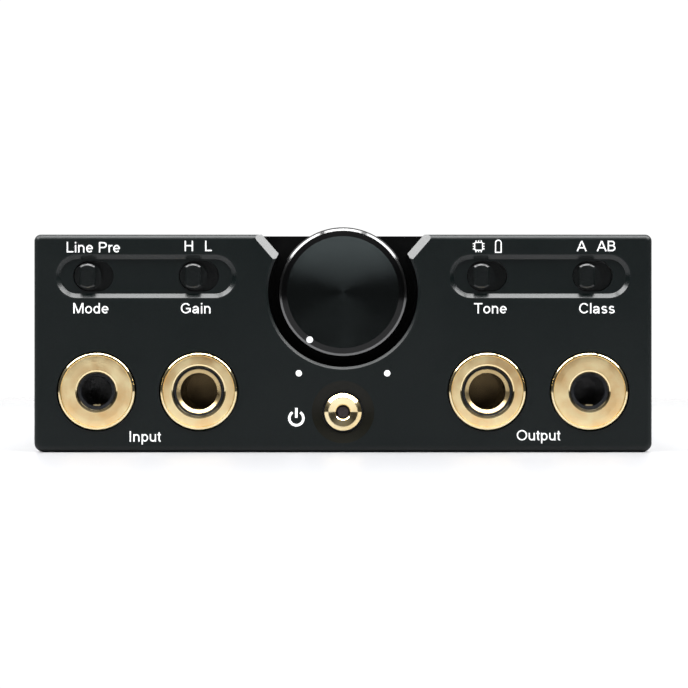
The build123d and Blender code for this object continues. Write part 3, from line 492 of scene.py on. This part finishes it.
# Each letter is its width and its strokes, in a cap height of 1.
TOP, LOW, SMALL = 0.93, 0.07, 0.725
LETTERS = {
    " ": (0.39, []),
    "A": (0.93, [[(0.05, 0), (0.455, 0.97)], [(0.475, 0.97), (0.88, 0)], [(0.2, 0.33), (0.73, 0.33)]]),
    "B": (0.93, [
        [(0.17, 0), (0.17, 1)],
        [(0.17, TOP), (0.48, TOP)] + arc(0.48, 0.735, 0.24, 0.195, 90, -90) + [(0.17, 0.54)],
        [(0.17, 0.54), (0.5, 0.54)] + arc(0.5, 0.305, 0.275, 0.235, 90, -90) + [(0.17, LOW)],
    ]),
    "C": (1.01, [arc(0.53, 0.5, 0.405, 0.43, 35, 325, 28)]),
    "G": (1.09, [arc(0.53, 0.5, 0.405, 0.43, 38, 318, 28) + [(0.93, 0.2), (0.93, 0.47), (0.55, 0.47)]]),
    "H": (1.01, [[(0.17, 0), (0.17, 1)], [(0.84, 0), (0.84, 1)], [(0.17, 0.53), (0.84, 0.53)]]),
    "I": (0.39, [[(0.195, 0), (0.195, 1)]]),
    "L": (0.78, [[(0.16, 1), (0.16, LOW), (0.73, LOW)]]),
    "M": (1.16, [
        [(0.165, 0), (0.165, 1)], [(0.2, 0.97), (0.582, 0.04)],
        [(0.965, 0.97), (0.582, 0.04)], [(1.0, 0), (1.0, 1)],
    ]),
    "O": (1.09, [loop(0.545, 0.5, 0.43, 0.43)]),
    "P": (0.93, [
        [(0.17, 0), (0.17, 1)],
        [(0.17, TOP), (0.5, TOP)] + arc(0.5, 0.7, 0.3, 0.23, 90, -90) + [(0.17, 0.47)],
    ]),
    "T": (0.85, [[(0.03, TOP), (0.82, TOP)], [(0.425, 0), (0.425, TOP)]]),
    "a": (0.78, [
        arc(0.365, 0.455, 0.235, 0.2, 165, 0) + [(0.6, 0.0)],
        [(0.6, 0.41), (0.36, 0.365)] + arc(0.31, 0.21, 0.185, 0.145, 95, 300) + [(0.6, 0.25)],
    ]),
    "d": (0.78, [loop(0.37, 0.3625, 0.245, 0.295), [(0.62, 0), (0.62, 1)]]),
    "e": (0.78, [[(0.13, 0.37), (0.64, 0.37)] + arc(0.39, 0.3625, 0.26, 0.295, 5, 318, 28)]),
    "i": (0.31, [[(0.155, 0), (0.155, SMALL)], [(0.155, 0.86), (0.155, 1)]]),
    "l": (0.31, [[(0.155, 0), (0.155, 1)]]),
    "n": (0.78, [[(0.15, 0), (0.15, SMALL)], arc(0.385, 0.43, 0.235, 0.228, 180, 0) + [(0.62, 0)]]),
    "o": (0.78, [loop(0.39, 0.3625, 0.27, 0.295)]),
    "p": (0.78, [loop(0.405, 0.3625, 0.245, 0.295), [(0.155, -0.27), (0.155, SMALL)]]),
    "r": (0.46, [[(0.15, 0), (0.15, SMALL)], arc(0.385, 0.42, 0.235, 0.238, 180, 72)]),
    "s": (0.70, [arc(0.345, 0.515, 0.2, 0.143, 22, 250) + arc(0.345, 0.212, 0.22, 0.147, 82, -158)]),
    "t": (0.39, [[(0.19, 0.9)] + arc(0.3, 0.18, 0.11, 0.11, 180, 285), [(0.03, 0.66), (0.36, 0.66)]]),
    "u": (0.78, [[(0.15, SMALL)] + arc(0.385, 0.295, 0.235, 0.228, 180, 360), [(0.62, 0), (0.62, SMALL)]]),
}


def ribbon(shape, points, width, front, back):
    """Adds one stroke as a thin solid strip along its points, in millimetres across and up the panel."""
    closed = math.dist(points[0], points[-1]) < 0.001
    if closed:
        points = points[:-1]
    count = len(points)
    rows = []
    for number, (x, z) in enumerate(points):
        before = points[number - 1] if closed or number else (x, z)
        after = points[(number + 1) % count] if closed or number < count - 1 else (x, z)
        steps = [Vector((b[0] - a[0], b[1] - a[1])) for a, b in ((before, (x, z)), ((x, z), after))]
        steps = [step.normalized() for step in steps if step.length > 1e-9]
        along = (steps[0] + steps[-1]).normalized()
        reach = width / 2 / max(0.4, along.dot(steps[0]))
        side = Vector((-along.y, along.x)) * reach
        corners = [(x + side.x, front, z + side.y), (x - side.x, front, z - side.y)]
        corners += [(x - side.x, back, z - side.y), (x + side.x, back, z + side.y)]
        rows.append([shape.verts.new(on_panel(cx, cz) + Vector((0, cy * MM, 0))) for cx, cy, cz in corners])
    for number in range(count if closed else count - 1):
        first, second = rows[number], rows[(number + 1) % count]
        for corner in range(4):
            following = (corner + 1) % 4
            shape.faces.new((first[corner], first[following], second[following], second[corner]))
    if not closed:
        shape.faces.new(rows[0])
        shape.faces.new(rows[-1][::-1])


def print_piece(name, strokes, width):
    """A raised print from strokes of one width; each stroke stands a hair further out than the last."""
    shape = bmesh.new()
    for number, points in enumerate(strokes):
        ribbon(shape, points, width, -PRINT_THICKNESS - PRINT_STEP * number, PRINT_SUNK)
    bmesh.ops.recalc_face_normals(shape, faces=shape.faces[:])
    mesh = bpy.data.meshes.new(name)
    shape.to_mesh(mesh)
    shape.free()
    piece = bpy.data.objects.new(name, mesh)
    bpy.context.scene.collection.objects.link(piece)
    return piece


def letters(name, text, x, baseline, cap_height=CAP_HEIGHT):
    """A word in plain strokes of one weight, centred on x."""
    length = sum(LETTERS[letter][0] for letter in text)
    start = x - length * cap_height / 2
    strokes = []
    for letter in text:
        advance, lines = LETTERS[letter]
        for line in lines:
            strokes.append([(start + px * cap_height, baseline + pz * cap_height) for px, pz in line])
        start += advance * cap_height
    return print_piece(name, strokes, STROKE * cap_height)


def disc_piece(name, x, z, radius):
    """A round printed dot."""
    return print_piece(name, [loop(x, z, radius / 2, radius / 2)], radius)


def power_mark(x, z):
    """An open ring with a bar through its gap."""
    gap_half = 34
    ring = arc(x, z, POWER_RING, POWER_RING, 90 + gap_half, 450 - gap_half, 40)
    bar = [(x, z + 0.05), (x, z + 1.25)]
    return print_piece("power_mark", [ring, bar], POWER_STROKE)


def chip_mark(x, z):
    """A square package with three pins on each side."""
    package = [(x + dx * 0.47, z + dz * 0.47) for dx, dz in ((0.8, 1), (1, 0.8), (1, -0.8), (0.8, -1))]
    package += [(2 * x - px, 2 * z - pz) for px, pz in package]
    strokes = [package + package[:1]]
    for step in (-0.32, 0, 0.32):
        for reach in (-1, 1):
            strokes.append([(x + step, z + reach * 0.5), (x + step, z + reach * 0.72)])
            strokes.append([(x + reach * 0.5, z + step), (x + reach * 0.72, z + step)])
    return print_piece("chip_mark", strokes, CHIP_STROKE)


def tube_mark(x, z):
    """A valve's outline: a capsule with a tip, on a flat foot."""
    half = 0.34
    dome = arc(x, z + 0.36, half, 0.34, 0, 75, 8) + arc(x, z + 0.36, half, 0.34, 105, 180, 8)
    outline = dome + [(x - half, z - 0.78), (x + half, z - 0.78)]
    return print_piece("tube_mark", [outline + outline[:1]], TUBE_STROKE)


def switch_x(name):
    low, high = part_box(name + "_switch_body")
    return (low.x + high.x) / 2 / MM


def panel_print():
    white = print_white_painted_glow()
    mode, gain, tone, stage = [switch_x(name) for name in SWITCHES]
    recess_middle = (mode + gain) / 2
    pieces = [
        letters("print_line_pre", "Line Pre", mode, LINE_PRE_BASELINE),
        letters("print_high", "H", gain - 1.2, UPPER_BASELINE),
        letters("print_low", "L", gain + 1.15, UPPER_BASELINE),
        letters("print_class_a", "A", stage - 1.35, UPPER_BASELINE),
        letters("print_class_ab", "AB", stage + 1.67, UPPER_BASELINE),
        letters("print_mode", "Mode", mode - 0.3, LOWER_BASELINE),
        letters("print_gain", "Gain", gain - 0.35, LOWER_BASELINE),
        letters("print_tone", "Tone", tone + 0.4, LOWER_BASELINE),
        letters("print_class", "Class", stage + 0.5, LOWER_BASELINE),
        letters("print_input", "Input", recess_middle - 0.15, FOOT_BASELINE),
        letters("print_output", "Output", -recess_middle - 0.2, FOOT_BASELINE + 0.15),
        chip_mark(tone - 1.05, UPPER_BASELINE + 0.6),
        tube_mark(tone + 1.34, UPPER_BASELINE + 0.65),
        power_mark(*POWER_MARK_AT),
        disc_piece("volume_low_dot", -VOLUME_DOT_X, VOLUME_DOT_Z, DOT_RADIUS),
        disc_piece("volume_high_dot", VOLUME_DOT_X, VOLUME_DOT_Z, DOT_RADIUS),
    ]
    for piece in pieces:
        finish_piece(piece, "case", white)
    return white


def knob_dot(white):
    """The knob's white mark, laid over the bevel round its face."""
    knob = NODES["volume_knob"]
    tree = BVHTree.FromPolygons([v.co for v in knob.data.vertices], [p.vertices for p in knob.data.polygons])
    angle = -math.pi / 2 - KNOB_DOT_ANGLE
    middle_x = KNOB_AXIS.x + KNOB_DOT_FROM_AXIS * MM * math.cos(angle)
    middle_z = KNOB_AXIS.z + KNOB_DOT_FROM_AXIS * MM * math.sin(angle)
    shape = bmesh.new()
    radius = KNOB_DOT_RADIUS * MM
    bmesh.ops.create_circle(shape, cap_ends=True, segments=40, radius=radius)
    for share in (0.3, 0.35):
        middle = [face for face in shape.faces if len(face.verts) > 4]
        bmesh.ops.inset_region(shape, faces=middle, thickness=radius * share)
    bmesh.ops.poke(shape, faces=[face for face in shape.faces if len(face.verts) > 4])
    for vertex in shape.verts:
        x, z = middle_x + vertex.co.x, middle_z + vertex.co.y
        hit = tree.ray_cast(Vector((x, PANEL_Y - 0.01, z)), Vector((0, 1, 0)))[0]
        vertex.co = Vector((x, hit.y - KNOB_DOT_STANDS * MM, z))
    bmesh.ops.recalc_face_normals(shape, faces=shape.faces[:])
    mesh = bpy.data.meshes.new("knob_dot")
    shape.to_mesh(mesh)
    shape.free()
    dot = bpy.data.objects.new("knob_dot", mesh)
    bpy.context.scene.collection.objects.link(dot)
    finish_piece(dot, "volume_control", white)


# ---- studio ----

def floor():
    """A pale sheet under the object whose edge fades away, so that no line shows where it ends."""
    mesh = bpy.data.meshes.new("studio_floor")
    half = FLOOR_HALF
    corners = [(-half, -half, 0), (half, -half, 0), (half, half, 0), (-half, half, 0)]
    mesh.from_pydata(corners, [], [(0, 1, 2, 3)])
    ground = bpy.data.objects.new("studio_floor", mesh)
    bpy.context.scene.collection.objects.link(ground)
    ground.location.z = cad_low.z - FLOOR_DROP
    surface = Surface("floor_white", Roughness=0.35, Specular_IOR_Level=0.2)
    surface.set("Base_Color", FLOOR_COLOUR)
    reach = surface.node("ShaderNodeVectorMath", operation="LENGTH")
    surface.link(surface.place(), reach.inputs[0])
    fade = surface.spread(reach.outputs["Value"], 1, 0, FLOOR_SOLID, FLOOR_HALF)
    surface.link(fade, surface.shader.inputs["Alpha"])
    ground.data.materials.append(surface.material)


def lamps():
    """Three soft panels in an arc over the knob, with dark gaps between them."""
    for number, (angle, half_angle) in enumerate(LAMP_HALF_ANGLES):
        width = 2 * LAMP_DISTANCE * math.tan(math.radians(half_angle))
        data = bpy.data.lights.new(f"soft_panel_{number}", "AREA")
        data.shape = "RECTANGLE"
        data.size = width
        data.size_y = LAMP_LENGTH
        data.energy = LAMP_RADIANCE * math.pi * width * LAMP_LENGTH
        lamp = bpy.data.objects.new(f"soft_panel_{number}", data)
        bpy.context.scene.collection.objects.link(lamp)
        lean = math.radians(angle)
        reach = Vector((math.sin(lean), 0, math.cos(lean))) * LAMP_DISTANCE
        lamp.location = KNOB_AXIS + reach + Vector((0, -LAMP_FORWARD, 0))
        lamp.rotation_euler = (0, lean, 0)
        lamp.visible_camera = False


def world():
    """A dark room round the camera with a lit backdrop behind the object; seen directly it is white."""
    sky = bpy.data.worlds.new("studio")
    bpy.context.scene.world = sky
    sky.use_nodes = True
    tree = sky.node_tree
    tree.nodes.clear()
    place = tree.nodes.new("ShaderNodeTexCoord")
    parts = tree.nodes.new("ShaderNodeSeparateXYZ")
    tree.links.new(place.outputs["Generated"], parts.inputs[0])
    levels = []
    for axis, stops in (("Y", BACKDROP_LEVELS), ("Z", OVERHEAD_LEVELS)):
        ramp = tree.nodes.new("ShaderNodeValToRGB")
        spread = tree.nodes.new("ShaderNodeMapRange")
        spread.inputs["From Min"].default_value = -1.0
        tree.links.new(parts.outputs[axis], spread.inputs["Value"])
        tree.links.new(spread.outputs["Result"], ramp.inputs["Fac"])
        while len(ramp.color_ramp.elements) < len(stops):
            ramp.color_ramp.elements.new(1.0)
        for element, (position, grey) in zip(ramp.color_ramp.elements, stops):
            element.position = (position + 1) / 2
            element.color = (grey, grey, grey, 1)
        levels.append(ramp.outputs["Color"])
    total = tree.nodes.new("ShaderNodeVectorMath")
    tree.links.new(levels[0], total.inputs[0])
    tree.links.new(levels[1], total.inputs[1])
    shaded = tree.nodes.new("ShaderNodeBackground")
    tree.links.new(total.outputs[0], shaded.inputs["Color"])
    seen = tree.nodes.new("ShaderNodeBackground")
    seen.inputs["Color"].default_value = (1, 1, 1, 1)
    seen.inputs["Strength"].default_value = 1.05
    path = tree.nodes.new("ShaderNodeLightPath")
    mix = tree.nodes.new("ShaderNodeMixShader")
    output = tree.nodes.new("ShaderNodeOutputWorld")
    tree.links.new(path.outputs["Is Camera Ray"], mix.inputs["Fac"])
    tree.links.new(shaded.outputs[0], mix.inputs[1])
    tree.links.new(seen.outputs[0], mix.inputs[2])
    tree.links.new(mix.outputs[0], output.inputs["Surface"])


def camera():
    data = bpy.data.cameras.new("camera")
    data.sensor_width = SENSOR
    data.lens = SENSOR * CAMERA_DISTANCE / VIEW_WIDTH
    data.clip_start, data.clip_end = 0.01, 50
    view = bpy.data.objects.new("camera", data)
    bpy.context.scene.collection.objects.link(view)
    view.location = (0.00012, PANEL_Y - CAMERA_DISTANCE, CAMERA_HEIGHT)
    view.rotation_euler = (math.pi / 2, 0, 0)
    bpy.context.scene.camera = view
    bpy.context.scene.view_settings.view_transform = "Standard"


camera()
world()
lamps()
floor()
paint_frame()
ink = panel_print()
knob_dot(ink)
